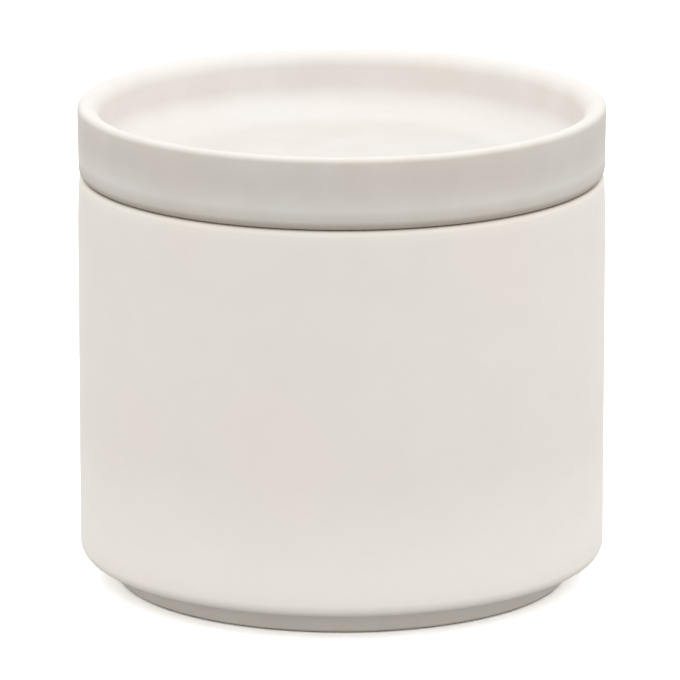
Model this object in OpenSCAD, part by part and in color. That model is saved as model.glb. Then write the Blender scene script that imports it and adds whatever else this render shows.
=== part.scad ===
// A round lidded jar in glazed stoneware. The straight-sided jar stands on a narrower foot
// ring. The lid lifts off: its top is a shallow dish inside a rolled rim, and a locating
// ring under it drops into the jar's mouth and keeps the lid central.
//
// Millimetres, +Z up. The origin is the centre of the foot ring, on the table.
// Each piece is one profile revolved about the vertical axis. A profile is drawn to the
// right of that axis, with its corners square, and fillet() then eases each corner: it is
// added to an inside corner and taken from an outside one.

/* [Jar] */
// Outside diameter of the jar's wall
jar_d = 100; // [84:1:140]
// Height of the jar's rim above the table
jar_h = 78.3; // [50:0.1:140]
// Thickness of the wall
wall_t = 4.5; // [3.5:0.1:7]
// Thickness of the floor above the jar's underside
floor_t = 4; // [3:0.1:8]
// Radius of the cove between the wall and the floor, inside
inside_cove_r = 7; // [2:0.5:14]
// Radius of the heel, between the wall and the underside
heel_r = 2.6; // [1:0.1:4]

/* [Jar rim] */
// Height of the shoulder, where the wall draws in below the rim
shoulder_h = 12; // [5:0.5:20]
// How far the shoulder draws in
shoulder_in = 0.3; // [0.1:0.05:0.6]
// Rounding of the rim's outer edge
rim_edge_r = 1.2; // [0.4:0.1:1.4]
// Rounding of the rim's inner edge, round the mouth
mouth_edge_r = 0.6; // [0.3:0.1:1]

/* [Foot ring] */
// How far the foot ring stands in from the jar's wall
foot_inset = 7; // [5.5:0.5:15]
// Height of the foot ring
foot_h = 4.6; // [3.4:0.1:10]
// Width of the foot ring
foot_w = 4.5; // [3:0.1:8]
// Depth of the recess inside the foot ring
recess_h = 3.5; // [2.5:0.1:4.5]
// Rounding of the foot ring's lower edges
foot_edge_r = 0.8; // [0.2:0.1:1]
// Radius of the cove between the foot ring and the underside
foot_cove_r = 2.2; // [0.3:0.1:2.5]
// Radius of the cove round the recess
recess_cove_r = 1.5; // [0.5:0.1:1.8]

/* [Lid] */
// Height of the lid above the jar's rim
lid_h = 13.7; // [12:0.1:30]
// Depth of the dish, from the crest of the lid's rim
dish_h = 10.9; // [8.5:0.1:12.6]
// Thickness of the plate under the dish
plate_t = 4; // [3:0.1:5.5]
// Thickness of the lid's rim, across its crest
lid_rim_t = 4.2; // [3:0.1:6]
// Rounding of the crest on the outside, the tighter one
crest_out_r = 1.1; // [0.5:0.1:2]
// Width left flat on the crest. The rest of it is rounded to the dish.
crest_flat = 0.2; // [0.1:0.1:1.5]
// How much narrower, at each side, the lid's outside is at its foot than at its crest
lid_flare = 0.2; // [0.05:0.05:0.6]
// How much narrower, at each side, the dish is at its foot than at its crest
dish_draft = 0.2; // [0.05:0.05:0.6]
// Radius of the cove round the dish
dish_cove_r = 4.5; // [2:0.1:6]
// Rounding of the lid's lower edge, above the seam
lid_edge_r = 1.8; // [0.5:0.1:3]

/* [Locating ring] */
// Clearance all round between the locating ring and the jar's mouth
ring_gap = 0.7; // [0.5:0.1:1.2]
// How deep the locating ring reaches into the mouth
ring_h = 5.5; // [4:0.1:12]
// Thickness of the locating ring
ring_t = 3.5; // [2.5:0.1:6]
// Rounding of the locating ring's lower edges
ring_edge_r = 1; // [0.3:0.1:1.2]
// Radius of the cove between the locating ring and the lid's seat
seat_cove_r = 0.4; // [0.2:0.1:0.5]
// Radius of the cove inside the locating ring
hollow_cove_r = 1.5; // [0.5:0.1:2]

/* [Hidden] */
$fn = 144;

JAR_GLAZE = [0.88, 0.86, 0.83];
LID_GLAZE = [0.86, 0.84, 0.81];

// How far a cutting shape runs past the faces that it opens
over = 1;

jar_r = jar_d / 2;
rim_r = jar_r - shoulder_in;
mouth_r = jar_r - wall_t;
inside_z = foot_h + floor_t;
foot_r = jar_r - foot_inset;
recess_r = foot_r - foot_w;
shoulder_z = jar_h - shoulder_h;
shoulder_steps = 8;

crest_z = jar_h + lid_h;
dish_z = crest_z - dish_h;
plate_z = dish_z - plate_t;
crest_in_r = lid_rim_t - crest_out_r - crest_flat;
lid_foot_r = jar_r - lid_flare;
dish_r = jar_r - lid_rim_t;
dish_foot_r = dish_r - dish_draft;
ring_r = mouth_r - ring_gap;
hollow_r = ring_r - ring_t;
ring_z = jar_h - ring_h;

// The quarters round a corner of a profile: towards the axis or away from it, up or down
IN_UP = [-1, 1];
IN_DOWN = [-1, -1];
OUT_UP = [1, 1];
OUT_DOWN = [1, -1];

// The sliver between a square corner and the arc of radius r that touches both its sides.
// quarter says on which side of the corner the arc's centre lies.
module fillet(corner, quarter, r) {
    centre = corner + r * quarter;
    difference() {
        translate([min(corner.x, centre.x), min(corner.y, centre.y)]) square(r);
        translate(centre) circle(r);
    }
}

// A rectangle from its lowest inner corner to its highest outer one
module block(low, high)
    translate(low) square(high - low);

// What the shoulder takes off the wall: the wall bends in along a parabola, upright where
// it leaves the wall and most drawn in where the rim's rounding starts.
module shoulder_cut() {
    bend_h = shoulder_h - rim_edge_r;
    polygon([
        [jar_r + over, shoulder_z],
        [jar_r + over, jar_h + over],
        [rim_r, jar_h + over],
        for (i = [shoulder_steps : -1 : 0])
            let (t = i / shoulder_steps) [jar_r - shoulder_in * t * t, shoulder_z + bend_h * t]
    ]);
}

module jar_profile() {
    difference() {
        union() {
            block([0, foot_h], [jar_r, jar_h]);
            block([0, 0], [foot_r, foot_h]);
            fillet([foot_r, foot_h], OUT_DOWN, foot_cove_r);
        }
        block([0, inside_z], [mouth_r, jar_h + over]);
        block([0, -over], [recess_r, recess_h]);
        shoulder_cut();
        fillet([rim_r, jar_h], IN_DOWN, rim_edge_r);
        fillet([mouth_r, jar_h], OUT_DOWN, mouth_edge_r);
        fillet([jar_r, foot_h], IN_UP, heel_r);
        fillet([foot_r, 0], IN_UP, foot_edge_r);
        fillet([recess_r, 0], OUT_UP, foot_edge_r);
    }
    fillet([mouth_r, inside_z], IN_UP, inside_cove_r);
    fillet([recess_r, recess_h], IN_DOWN, recess_cove_r);
}

// The lid above the seam: the plate and the rim that stands round the dish. Both sides of
// the rim lean a little, from the rounding or cove at their foot up to the crest.
module dish_section() {
    difference() {
        polygon([
            [0, jar_h],
            [lid_foot_r, jar_h],
            [lid_foot_r, jar_h + lid_edge_r],
            [jar_r, crest_z - crest_out_r],
            [jar_r, crest_z],
            [dish_r, crest_z],
            [dish_r, crest_z - crest_in_r],
            [dish_foot_r, dish_z + dish_cove_r],
            [dish_foot_r, dish_z],
            [0, dish_z]
        ]);
        fillet([jar_r, crest_z], IN_DOWN, crest_out_r);
        fillet([dish_r, crest_z], OUT_DOWN, crest_in_r);
        fillet([lid_foot_r, jar_h], IN_UP, lid_edge_r);
    }
    fillet([dish_foot_r, dish_z], IN_UP, dish_cove_r);
}

// The plate reaches down into the mouth with the locating ring round it, and the ring's
// hollow is cut up to the plate's underside.
module lid_profile() {
    difference() {
        union() {
            dish_section();
            block([0, ring_z], [ring_r, jar_h]);
            fillet([ring_r, jar_h], OUT_DOWN, seat_cove_r);
        }
        block([0, ring_z - over], [hollow_r, plate_z]);
        fillet([ring_r, ring_z], IN_UP, ring_edge_r);
        fillet([hollow_r, ring_z], OUT_UP, ring_edge_r);
    }
    fillet([hollow_r, plate_z], IN_DOWN, hollow_cove_r);
}

module jar() color(JAR_GLAZE) rotate_extrude() jar_profile();

module lid() color(LID_GLAZE) rotate_extrude() lid_profile();

jar();
lid();
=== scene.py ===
"""A round lidded jar in satin off-white glaze, on a white studio floor.

The jar and its lid are turned again here as fine, even meshes, so that the glaze has smooth
curves to lie on. Their profiles are the CAD model's own, apart from the jar's shoulder, which
is one arc here and differs by less than 0.1 mm. Lengths are in metres.
"""
import math

import bpy
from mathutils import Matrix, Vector


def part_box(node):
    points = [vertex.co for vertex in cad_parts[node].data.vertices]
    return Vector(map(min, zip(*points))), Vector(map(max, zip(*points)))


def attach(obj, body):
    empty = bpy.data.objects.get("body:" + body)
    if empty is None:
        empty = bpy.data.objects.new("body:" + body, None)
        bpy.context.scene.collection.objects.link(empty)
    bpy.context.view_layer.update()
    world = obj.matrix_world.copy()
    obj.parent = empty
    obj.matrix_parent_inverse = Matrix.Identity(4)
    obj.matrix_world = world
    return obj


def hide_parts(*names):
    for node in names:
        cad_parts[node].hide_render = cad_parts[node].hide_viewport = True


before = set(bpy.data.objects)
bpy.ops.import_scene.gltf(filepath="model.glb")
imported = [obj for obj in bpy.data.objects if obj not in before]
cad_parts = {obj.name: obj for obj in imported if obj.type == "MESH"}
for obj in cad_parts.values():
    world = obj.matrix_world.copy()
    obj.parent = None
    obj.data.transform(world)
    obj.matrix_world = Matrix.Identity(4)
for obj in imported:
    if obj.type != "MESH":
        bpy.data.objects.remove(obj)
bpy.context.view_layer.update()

MM = 0.001

# ---------------------------------------------------------------- sizes
# The frame gives the main sizes. The rest repeat the CAD model's own values.
_, jar_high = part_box("jar")
lid_low, lid_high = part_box("lid")

JAR_R = jar_high.x
JAR_H = jar_high.z
WALL_T = 4.5 * MM
FLOOR_T = 4.0 * MM
INSIDE_COVE_R = 7.0 * MM
HEEL_R = 2.6 * MM
SHOULDER_H = 12.0 * MM
SHOULDER_IN = 0.3 * MM
RIM_EDGE_R = 1.2 * MM
MOUTH_EDGE_R = 0.6 * MM

FOOT_INSET = 7.0 * MM
FOOT_H = 4.6 * MM
FOOT_W = 4.5 * MM
RECESS_H = 3.5 * MM
FOOT_EDGE_R = 0.8 * MM
FOOT_COVE_R = 2.2 * MM
RECESS_COVE_R = 1.5 * MM

CREST_Z = lid_high.z
RING_Z = lid_low.z
DISH_H = 10.9 * MM
PLATE_T = 4.0 * MM
LID_RIM_T = 4.2 * MM
CREST_OUT_R = 1.1 * MM
CREST_FLAT = 0.2 * MM
LID_FLARE = 0.2 * MM
DISH_DRAFT = 0.2 * MM
DISH_COVE_R = 4.5 * MM
LID_EDGE_R = 1.8 * MM
RING_GAP = 0.7 * MM
RING_T = 3.5 * MM
RING_EDGE_R = 1.0 * MM
SEAT_COVE_R = 0.4 * MM
HOLLOW_COVE_R = 1.5 * MM

# The arc of the jar's shoulder fills this share of the room up to the rim's rounding
SHOULDER_FILL = 0.95

# ---------------------------------------------------------------- how finely the meshes are cut
SEGMENTS = 144
LONGEST_STEP = 2.5 * MM
ARC_STEP = math.radians(9)
FEWEST_ARC_STEPS = 6
# Nearer to the axis than this, a point is on it
ON_AXIS = 1e-7

# ---------------------------------------------------------------- where the glaze lies thick or thin, and where light and shade are painted in
# 0 is the usual thickness, 1 is pooled and -1 is thin. The same scale also paints light and shade
# into the glaze's colour, towards the pooled white and the thin grey.
# On the jar the first three add up, and the foot ring's takes over from them below.
# Painted bounce light: the wall lighter below its top fifth, and much lighter low down and on the
# heel
WALL_PAINTED_LIGHT = 0.15
LOW_WALL_PAINTED_BOUNCE = 0.85
# Painted highlight on the rim's rounding and just below it
RIM_PAINTED_HIGHLIGHT = 0.38
# Painted shade: the foot ring darker, where the heel's overhang shades it
FOOT_RING_PAINTED_SHADE = -0.25

# The lid's side below the level of its dish, its grey deepened there by painted shade above the
# seam;
# the side above it; the painted shade added up the side; and the painted highlight added by the
# crest
LID_FOOT_GREY_AND_PAINTED_SHADE = -0.7
LID_SIDE_COVER = -0.47
UP_SIDE_PAINTED_SHADE = -0.4
BY_CREST_PAINTED_HIGHLIGHT = 0.12

# The dish's floor, the pooled glaze and painted bounce light added towards its cove, and its wall
DISH_FLOOR_COVER = -0.33
IN_COVE_POOL_AND_PAINTED_LIGHT = 0.55
DISH_WALL_COVER = -0.3

# How dark the painted shade is, from 0 to 1, in the band just above the seam, where it is painted as
# bare clay
SEAM_PAINTED_SHADE = 0.8

# ---------------------------------------------------------------- colours, gloss and relief
WHITE = (1.0, 1.0, 1.0)
# The pooled white also serves as painted light and the thin grey as painted shade
JAR_WHITES = {
    "usual": (0.80, 0.76, 0.71),
    "pooled_and_painted_light": (0.89, 0.85, 0.80),
    "thin_and_painted_shade": (0.60, 0.55, 0.49),
}
LID_WHITES = {
    "usual": (0.79, 0.765, 0.737),
    "pooled_and_painted_light": (0.88, 0.855, 0.826),
    "thin_and_painted_shade": (0.588, 0.55, 0.503),
}
# Bare clay, which also paints the shade just above the lid's seam
CLAY_AND_SEAM_SHADE_LIGHT = (0.44, 0.40, 0.345)
CLAY_AND_SEAM_SHADE_DARK = (0.36, 0.32, 0.27)

# What the glaze's colour is multiplied by in the warm patches, in the mottle and over edges
WARM_TINT = (1.010, 0.997, 0.988)
MOTTLE_TINT = (0.988, 0.987, 0.984)
EDGE_TINT = (0.97, 0.955, 0.92)
# The edge's tint starts at the first of these curvatures, in 1/mm, and is full at the second
EDGE_BENDS = (0.15, 0.9)
EDGE_SHARE = 0.45
# The most that the glaze's thickness drifts up or down from place to place
COVER_DRIFT = 0.08

# The glaze's gloss varies from place to place between these
GLAZE_ROUGHNESS = (0.54, 0.62)
CLAY_ROUGHNESS = 0.85
GLAZE_SPECULAR = 0.22

# Noise between these is stretched to its full reach. The warm patches have the softer noise.
NOISE_SPAN = (0.3, 0.7)
WARM_SPAN = (0.35, 0.65)

# The size of the blotches or grains of each kind of unevenness
DRIFT_GRAIN = 9.0 * MM
WARM_GRAIN = 26.0 * MM
MOTTLE_GRAIN = 1.4 * MM
CLAY_GRAIN = 0.35 * MM
GLOSS_GRAIN = 9.0 * MM
PEEL_GRAIN = 1.6 * MM
SWELL_GRAIN = 14.0 * MM

PEEL_DEPTH = 0.012 * MM
SWELL_DEPTH = 0.10 * MM
CLAY_DEPTH = 0.05 * MM

# ---------------------------------------------------------------- studio
WORLD_STRENGTH = 1.073
FLOOR_SIDE = 6.0
FLOOR_ROUGHNESS = 0.9
# How much light the white floor sends back to the object, and how bright the camera sees it:
# above 1, so that only the deeper part of the object's shadow shows
FLOOR_BOUNCE = 0.5
FLOOR_SEEN = 1.8

# Fitted to the photograph. The camera stands slightly left of the axis and looks straight
# ahead, down by its pitch. Its distance is to the height on the axis that it is aimed at, the
# pitch is in radians, and the lens and its sensor are in millimetres.
CAMERA_DISTANCE = 1426.5 * MM
CAMERA_PITCH = 0.244
CAMERA_AIM_Z = 45.6 * MM
CAMERA_LEFT = 0.33 * MM
SENSOR_WIDTH = 36
LENS = 396.8
NEAREST_SEEN = 0.05
FARTHEST_SEEN = 20


# ---------------------------------------------------------------- turned meshes
def eased(corners):
    """Points (r, z, bend) along an outline whose corners are given as (r, z, radius).

    bend is the arc's curvature in 1/mm: above 0 on an outer edge, below 0 in a cove.
    """
    points = []
    for i, (r, z, radius) in enumerate(corners):
        corner = Vector((r, z))
        if radius == 0:
            points.append((r, z, 0.0))
            continue
        back = (Vector(corners[i - 1][:2]) - corner).normalized()
        ahead = (Vector(corners[i + 1][:2]) - corner).normalized()
        half = back.angle(ahead) / 2
        turn = math.pi - 2 * half
        centre = corner + (back + ahead).normalized() * radius / math.sin(half)
        first = corner + back * radius / math.tan(half) - centre
        last = corner + ahead * radius / math.tan(half) - centre
        outer = back.x * ahead.y - back.y * ahead.x < 0
        bend = (1 if outer else -1) * MM / radius
        steps = max(FEWEST_ARC_STEPS, math.ceil(turn / ARC_STEP))
        for k in range(steps + 1):
            to_go = math.sin((1 - k / steps) * turn)
            gone = math.sin(k / steps * turn)
            point = centre + (first * to_go + last * gone) / math.sin(turn)
            points.append((point.x, point.y, bend))
    return points


def stepped(points):
    """The same outline, with its long straight runs cut into short steps."""
    out = [points[0]]
    for (r0, z0, _), (r1, z1, bend) in zip(points, points[1:]):
        steps = max(1, math.ceil(math.hypot(r1 - r0, z1 - z0) / LONGEST_STEP))
        for k in range(1, steps):
            share = k / steps
            out.append((r0 + (r1 - r0) * share, z0 + (z1 - z0) * share, 0.0))
        out.append((r1, z1, bend))
    return out


def ramp(value, low, high):
    """0 at low, 1 at high, straight between them and level past them. low may be the larger."""
    return min(max((value - low) / (high - low), 0.0), 1.0)


def band(low, high):
    """The faces between two neighbouring rings of points. A ring of one point is on the axis."""
    faces = []
    for j in range(SEGMENTS):
        k = (j + 1) % SEGMENTS
        if len(low) == 1:
            faces.append((low[0], high[k], high[j]))
        elif len(high) == 1:
            faces.append((low[j], low[k], high[0]))
        else:
            faces.append((low[j], low[k], high[k], high[j]))
    return faces


def turned(name, corners, bare_and_seam_shade, cover_and_painted_light):
    """A mesh turned about the vertical axis from an outline that starts and ends on it.

    The first function says from 0 to 1 where the clay has no glaze, and also paints shade just above
    the lid's seam as bare clay.
    The second says how thick the glaze lies elsewhere, 0 usual, 1 pooled and -1 thin, and by the
    same scale paints light and shade into the glaze's colour.
    """
    verts = []
    rings = []
    values = {"bend": [], "bare_and_seam_shade": [], "cover_and_painted_light": []}
    for r, z, bend in stepped(eased(corners)):
        count = 1 if r < ON_AXIS else SEGMENTS
        rings.append(range(len(verts), len(verts) + count))
        for j in range(count):
            angle = 2 * math.pi * j / SEGMENTS
            verts.append((r * math.cos(angle), r * math.sin(angle), z))
        values["bend"] += [bend] * count
        values["bare_and_seam_shade"] += [float(bare_and_seam_shade(r, z))] * count
        values["cover_and_painted_light"] += [float(cover_and_painted_light(r, z))] * count
    faces = []
    for low, high in zip(rings, rings[1:]):
        faces += band(low, high)
    mesh = bpy.data.meshes.new(name)
    mesh.from_pydata(verts, [], faces)
    for attribute, numbers in values.items():
        mesh.attributes.new(attribute, "FLOAT", "POINT").data.foreach_set("value", numbers)
    mesh.shade_smooth()
    mesh.update()
    piece = bpy.data.objects.new(name, mesh)
    bpy.context.scene.collection.objects.link(piece)
    return piece


def make_jar():
    foot_r = JAR_R - FOOT_INSET
    recess_r = foot_r - FOOT_W
    mouth_r = JAR_R - WALL_T
    rim_r = JAR_R - SHOULDER_IN
    inside_z = FOOT_H + FLOOR_T
    # The shoulder's arc lies round the middle of its height, clear of the rim's rounding
    shoulder_room = SHOULDER_H / 2 - RIM_EDGE_R
    shoulder_turn = math.atan2(SHOULDER_IN, SHOULDER_H / 2)
    shoulder_r = SHOULDER_FILL * shoulder_room / math.tan(shoulder_turn / 2)
    corners = [
        (0, RECESS_H, 0),
        (recess_r, RECESS_H, RECESS_COVE_R),
        (recess_r, 0, FOOT_EDGE_R),
        (foot_r, 0, FOOT_EDGE_R),
        (foot_r, FOOT_H, FOOT_COVE_R),
        (JAR_R, FOOT_H, HEEL_R),
        (JAR_R, JAR_H - SHOULDER_H / 2, shoulder_r),
        (rim_r, JAR_H, RIM_EDGE_R),
        (mouth_r, JAR_H, MOUTH_EDGE_R),
        (mouth_r, inside_z, INSIDE_COVE_R),
        (0, inside_z, 0),
    ]

    # Heights between which the glaze ends, at the foot ring's lower face and at the rim
    foot_bare_z = 0.1 * FOOT_EDGE_R
    foot_glazed_z = 0.7 * FOOT_EDGE_R
    rim_glazed_z = JAR_H - 0.3 * MOUTH_EDGE_R

    # Heights between which its painted light and shade change, from the rim down
    rim_low_z = JAR_H - RIM_EDGE_R
    rim_end_z = JAR_H - 1.8 * RIM_EDGE_R
    wall_high_z = 0.8 * JAR_H
    wall_low_z = 0.4 * JAR_H
    wall_foot_z = 0.15 * JAR_H
    heel_low_z = FOOT_H + 0.6 * HEEL_R
    foot_cove_z = FOOT_H - FOOT_COVE_R

    def bare_and_seam_shade(r, z):
        on_rim = ramp(z, rim_glazed_z, JAR_H)
        if r < recess_r - FOOT_EDGE_R:
            return on_rim
        return max(on_rim, ramp(z, foot_glazed_z, foot_bare_z))

    def cover_and_painted_light(r, z):
        if r < mouth_r and z > FOOT_H:
            return 0
        # Painted bounce light from the floor: the wall lighter towards the bottom, most of all low
        # down and on the heel
        painted_light_below_rim = WALL_PAINTED_LIGHT * ramp(z, JAR_H, wall_high_z)
        painted_bounce_low_on_wall = LOW_WALL_PAINTED_BOUNCE * ramp(z, wall_low_z, wall_foot_z)
        # Painted highlight on the rim's rounding and just below it
        on_rim = RIM_PAINTED_HIGHLIGHT * ramp(z, rim_end_z, rim_low_z)
        # Painted shade on the foot ring, under the heel's overhang, takes over below the heel
        on_foot_ring = ramp(z, heel_low_z, foot_cove_z)
        above = painted_light_below_rim + painted_bounce_low_on_wall + on_rim
        return above * (1 - on_foot_ring) + FOOT_RING_PAINTED_SHADE * on_foot_ring

    return turned("jar_skin", corners, bare_and_seam_shade, cover_and_painted_light)


def make_lid():
    dish_z = CREST_Z - DISH_H
    plate_z = dish_z - PLATE_T
    dish_r = JAR_R - LID_RIM_T
    ring_r = JAR_R - WALL_T - RING_GAP
    hollow_r = ring_r - RING_T
    crest_in_r = LID_RIM_T - CREST_OUT_R - CREST_FLAT
    corners = [
        (0, plate_z, 0),
        (hollow_r, plate_z, HOLLOW_COVE_R),
        (hollow_r, RING_Z, RING_EDGE_R),
        (ring_r, RING_Z, RING_EDGE_R),
        (ring_r, JAR_H, SEAT_COVE_R),
        (JAR_R - LID_FLARE, JAR_H, LID_EDGE_R),
        (JAR_R, CREST_Z, CREST_OUT_R),
        (dish_r, CREST_Z, crest_in_r),
        (dish_r - DISH_DRAFT, dish_z, DISH_COVE_R),
        (0, dish_z, 0),
    ]

    # Heights between which the glaze ends at the seat, and between which shade is painted as bare
    # clay just above the seam
    seat_glazed_z = JAR_H + 0.1 * LID_EDGE_R
    seam_shade_full_z = JAR_H + 0.5 * LID_EDGE_R
    seam_shade_end_z = JAR_H + 1.25 * LID_EDGE_R

    # Heights and radii between which its thickness and its painted light and shade change
    cove_top_z = dish_z + DISH_COVE_R
    side_high_z = CREST_Z - 3 * CREST_OUT_R
    crest_low_z = CREST_Z - CREST_OUT_R
    crest_edge_z = CREST_Z - 0.8 * CREST_OUT_R
    crest_in_z = CREST_Z - crest_in_r
    crest_r = dish_r + crest_in_r
    pool_and_bounce_start_r = 0.65 * dish_r
    pool_and_bounce_full_r = 0.9 * dish_r

    def bare_and_seam_shade(r, z):
        if r < ring_r:
            return 0
        on_seat = ramp(z, seat_glazed_z, JAR_H)
        # The seat is bare clay; just above the seam, shade is painted as bare clay
        return max(on_seat, SEAM_PAINTED_SHADE * ramp(z, seam_shade_end_z, seam_shade_full_z))

    def side_grey_and_painted_light(z):
        # Painted shade: the side darker towards its top, as less light falls there than lower down
        painted_shade_up_side = UP_SIDE_PAINTED_SHADE * ramp(z, dish_z, cove_top_z)
        # Painted highlight: the side lighter just below the crest, where the crest's light spills
        # down
        painted_highlight_by_crest = BY_CREST_PAINTED_HIGHLIGHT * ramp(z, side_high_z, crest_low_z)
        off_crest = ramp(z, CREST_Z, crest_edge_z)
        return (LID_SIDE_COVER + painted_shade_up_side + painted_highlight_by_crest) * off_crest

    def dish_tone_and_painted_light(r, z):
        on_wall = ramp(z, dish_z, cove_top_z)
        off_crest = ramp(z, CREST_Z, crest_in_z)
        # Pooled glaze and painted bounce light from the dish's walls: the floor lighter towards its
        # cove
        on_floor = DISH_FLOOR_COVER + IN_COVE_POOL_AND_PAINTED_LIGHT * ramp(r, pool_and_bounce_start_r, pool_and_bounce_full_r)
        return on_floor * (1 - on_wall) + DISH_WALL_COVER * on_wall * off_crest

    def cover_and_painted_light(r, z):
        if z < dish_z:
            # Below the dish's level, the side's grey is deepened by painted shade above the seam
            return LID_FOOT_GREY_AND_PAINTED_SHADE * ramp(r, ring_r, JAR_R - LID_FLARE)
        return side_grey_and_painted_light(z) if r > crest_r else dish_tone_and_painted_light(r, z)

    return turned("lid_skin", corners, bare_and_seam_shade, cover_and_painted_light)


# ---------------------------------------------------------------- materials
class Nodes:
    """Short calls that build the node tree of a material or of the world."""

    def __init__(self, owner):
        owner.use_nodes = True
        self.tree = owner.node_tree

    def inputs(self, node_name):
        """The sockets of a node that a new tree already has."""
        return self.tree.nodes[node_name].inputs

    def place(self):
        """Where a point is, in the object's own coordinates."""
        node = self.tree.nodes.get("place") or self.add("ShaderNodeTexCoord", name="place")
        return node.outputs["Object"]

    def add(self, kind, **settings):
        node = self.tree.nodes.new(kind)
        for setting, value in settings.items():
            setattr(node, setting, value)
        return node

    def put(self, value, socket):
        """Links an output to a socket, or sets the socket to a number or colour."""
        if isinstance(value, bpy.types.NodeSocket):
            self.tree.links.new(value, socket)
        elif isinstance(value, tuple):
            socket.default_value = (*value, 1)
        else:
            socket.default_value = value

    def attribute(self, name):
        return self.add("ShaderNodeAttribute", attribute_name=name).outputs["Fac"]

    def noise(self, grain, detail, seed):
        """Soft noise around 0.5, whose blotches are about grain metres across."""
        node = self.add("ShaderNodeTexNoise", noise_dimensions="4D")
        self.put(self.place(), node.inputs["Vector"])
        self.put(seed, node.inputs["W"])
        self.put(1 / grain, node.inputs["Scale"])
        self.put(detail, node.inputs["Detail"])
        return node.outputs["Fac"]

    def span(self, value, low, high, to_low=0.0, to_high=1.0):
        """value from low to high, carried over to the span from to_low to to_high."""
        node = self.add("ShaderNodeMapRange")
        for socket, number in zip(node.inputs, (value, low, high, to_low, to_high)):
            self.put(number, socket)
        return node.outputs["Result"]

    def math(self, operation, a, b):
        node = self.add("ShaderNodeMath", operation=operation)
        self.put(a, node.inputs[0])
        self.put(b, node.inputs[1])
        return node.outputs[0]

    def mix(self, share, a, b, blend="MIX"):
        node = self.add("ShaderNodeMix", data_type="RGBA", blend_type=blend)
        colour_a, colour_b = [s for s in node.inputs if s.type == "RGBA"]
        self.put(share, node.inputs[0])
        self.put(a, colour_a)
        self.put(b, colour_b)
        return next(s for s in node.outputs if s.type == "RGBA")

    def bump(self, height, depth, below=None):
        """Relief of depth metres from a height between 0 and 1."""
        node = self.add("ShaderNodeBump")
        self.put(height, node.inputs["Height"])
        self.put(depth, node.inputs["Distance"])
        self.put(1.0, node.inputs["Strength"])
        if below is not None:
            self.put(below, node.inputs["Normal"])
        return node.outputs["Normal"]

    def seen_directly(self, by_camera=1.0):
        """by_camera for what the camera sees, 1 in or through gloss or glass, 0 for other light."""
        path = self.add("ShaderNodeLightPath").outputs
        seen = self.math("MULTIPLY", path["Is Camera Ray"], by_camera)
        for other in ("Is Glossy Ray", "Is Transmission Ray"):
            seen = self.math("MAXIMUM", seen, path[other])
        return seen


def glaze(name, usual, pooled_and_painted_light, thin_and_painted_shade):
    """Satin glaze over bare clay, each where the mesh's own attributes say, which also paint light
    and shade into its colour.
    """
    material = bpy.data.materials.new(name)
    n = Nodes(material)
    shader = n.inputs("Principled BSDF")
    bare_and_seam_shade = n.attribute("bare_and_seam_shade")

    drift = n.noise(DRIFT_GRAIN, detail=2.0, seed=4.4)
    drift = n.span(drift, *NOISE_SPAN, -COVER_DRIFT, COVER_DRIFT)
    cover_and_painted_light = n.math("ADD", n.attribute("cover_and_painted_light"), drift)
    # Towards the pooled white above 0 and the thin grey below it, for glaze thickness and painted
    # light and shade alike
    colour = n.mix(n.span(cover_and_painted_light, 0.0, 1.0), usual, pooled_and_painted_light)
    colour = n.mix(n.span(cover_and_painted_light, 0.0, -1.0), colour, thin_and_painted_shade)
    warm = n.noise(WARM_GRAIN, detail=1.0, seed=3.1)
    colour = n.mix(n.span(warm, *WARM_SPAN), colour, WARM_TINT, "MULTIPLY")
    mottle = n.noise(MOTTLE_GRAIN, detail=3.0, seed=1.3)
    colour = n.mix(n.span(mottle, *NOISE_SPAN), colour, MOTTLE_TINT, "MULTIPLY")
    edge = n.span(n.attribute("bend"), *EDGE_BENDS, 0.0, EDGE_SHARE)
    colour = n.mix(edge, colour, EDGE_TINT, "MULTIPLY")

    # The clay's colour also paints the shade just above the lid's seam
    grain = n.noise(CLAY_GRAIN, detail=2.0, seed=5.2)
    clay_and_seam_shade = n.mix(n.span(grain, *NOISE_SPAN), CLAY_AND_SEAM_SHADE_LIGHT, CLAY_AND_SEAM_SHADE_DARK)
    n.put(n.mix(bare_and_seam_shade, colour, clay_and_seam_shade), shader["Base Color"])

    gloss = n.noise(GLOSS_GRAIN, detail=3.0, seed=9.4)
    satin = n.span(gloss, *NOISE_SPAN, *GLAZE_ROUGHNESS)
    n.put(n.span(bare_and_seam_shade, 0.0, 1.0, satin, CLAY_ROUGHNESS), shader["Roughness"])
    n.put(GLAZE_SPECULAR, shader["Specular IOR Level"])

    peel = n.bump(n.noise(PEEL_GRAIN, detail=1.5, seed=2.2), PEEL_DEPTH)
    swell = n.bump(n.noise(SWELL_GRAIN, detail=1.0, seed=6.6), SWELL_DEPTH, peel)
    tooth = n.bump(n.math("MULTIPLY", grain, bare_and_seam_shade), CLAY_DEPTH, swell)
    n.put(tooth, shader["Normal"])
    return material


# ---------------------------------------------------------------- floor, light and camera
def make_floor():
    h = FLOOR_SIDE / 2
    mesh = bpy.data.meshes.new("floor")
    mesh.from_pydata([(-h, -h, 0), (h, -h, 0), (h, h, 0), (-h, h, 0)], [], [(0, 1, 2, 3)])
    floor = bpy.data.objects.new("floor", mesh)
    bpy.context.scene.collection.objects.link(floor)
    material = bpy.data.materials.new("floor")
    n = Nodes(material)
    shader = n.inputs("Principled BSDF")
    shade = n.math("MAXIMUM", n.seen_directly(FLOOR_SEEN), FLOOR_BOUNCE)
    n.put(shade, shader["Base Color"])
    n.put(FLOOR_ROUGHNESS, shader["Roughness"])
    n.put(0.0, shader["Specular IOR Level"])
    mesh.materials.append(material)


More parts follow.
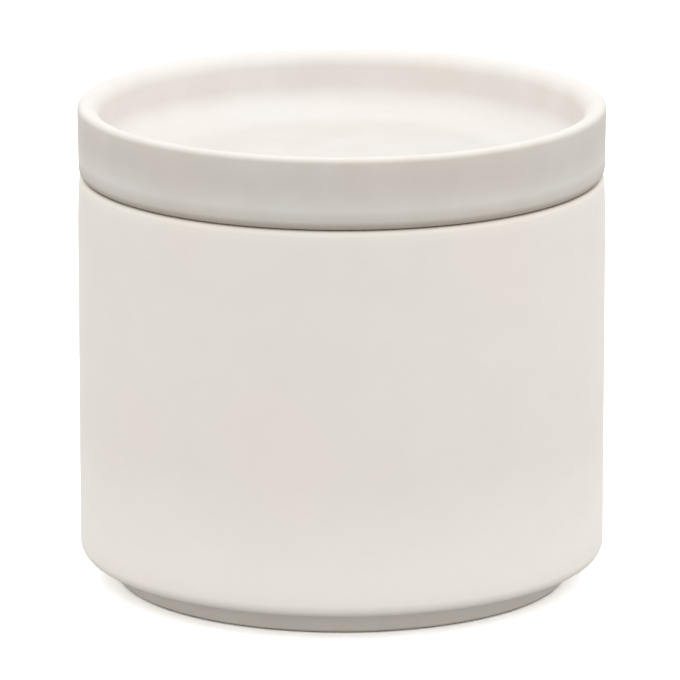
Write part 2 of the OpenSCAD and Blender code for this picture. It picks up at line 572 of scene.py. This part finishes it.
def make_world(strength):
    """An even light from all round, which is a plain white where it is seen directly or in gloss."""
    world = bpy.data.worlds.new("studio")
    bpy.context.scene.world = world
    n = Nodes(world)
    lit = n.tree.nodes["Background"]
    white = n.add("ShaderNodeBackground")
    for background, level in ((lit, strength), (white, 1.0)):
        n.put(WHITE, background.inputs["Color"])
        n.put(level, background.inputs["Strength"])
    either = n.add("ShaderNodeMixShader")
    n.put(n.seen_directly(), either.inputs[0])
    n.put(lit.outputs[0], either.inputs[1])
    n.put(white.outputs[0], either.inputs[2])
    n.put(either.outputs[0], n.inputs("World Output")["Surface"])


def softbox(name, azimuth, elevation, distance, side, power):
    """A square lamp at a distance from the object's middle, turned to it.

    Angles are in degrees, azimuth 0 is +X, side is in metres and power in watts.
    """
    turn = math.radians(azimuth)
    rise = math.radians(elevation)
    middle = Vector((0, 0, CREST_Z / 2))
    out = Vector((
        math.cos(rise) * math.cos(turn),
        math.cos(rise) * math.sin(turn),
        math.sin(rise),
    ))
    data = bpy.data.lights.new(name, "AREA")
    data.shape = "SQUARE"
    data.size = side
    data.energy = power
    lamp = bpy.data.objects.new(name, data)
    lamp.location = middle + out * distance
    lamp.rotation_euler = out.to_track_quat("Z", "Y").to_euler()
    bpy.context.scene.collection.objects.link(lamp)


def make_camera():
    back = CAMERA_DISTANCE * math.cos(CAMERA_PITCH)
    up = CAMERA_DISTANCE * math.sin(CAMERA_PITCH)
    data = bpy.data.cameras.new("camera")
    data.sensor_width = SENSOR_WIDTH
    data.lens = LENS
    data.clip_start = NEAREST_SEEN
    data.clip_end = FARTHEST_SEEN
    camera = bpy.data.objects.new("camera", data)
    camera.location = (-CAMERA_LEFT, -back, CAMERA_AIM_Z + up)
    camera.rotation_euler = (math.pi / 2 - CAMERA_PITCH, 0, 0)
    bpy.context.scene.collection.objects.link(camera)
    bpy.context.scene.camera = camera


# ---------------------------------------------------------------- the scene
make_camera()
jar = make_jar()
lid = make_lid()
jar.data.materials.append(glaze("jar_glaze", **JAR_WHITES))
lid.data.materials.append(glaze("lid_glaze", **LID_WHITES))
for piece, node, body, slot in (
    (jar, "jar", "jar_body", "jar_glaze"),
    (lid, "lid", "lid_body", "lid_glaze"),
):
    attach(piece, body)
    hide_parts(node)

make_floor()
make_world(WORLD_STRENGTH)
softbox("top_box", azimuth=0, elevation=90, distance=0.9, side=0.9, power=0.9)
softbox("front_box", azimuth=-90, elevation=25, distance=1.1, side=0.7, power=0.45)
softbox("left_box", azimuth=180, elevation=45, distance=1.1, side=0.8, power=0.8)
softbox("right_box", azimuth=-5, elevation=40, distance=1.1, side=0.8, power=1.3)

bpy.context.scene.view_settings.view_transform = "Standard"
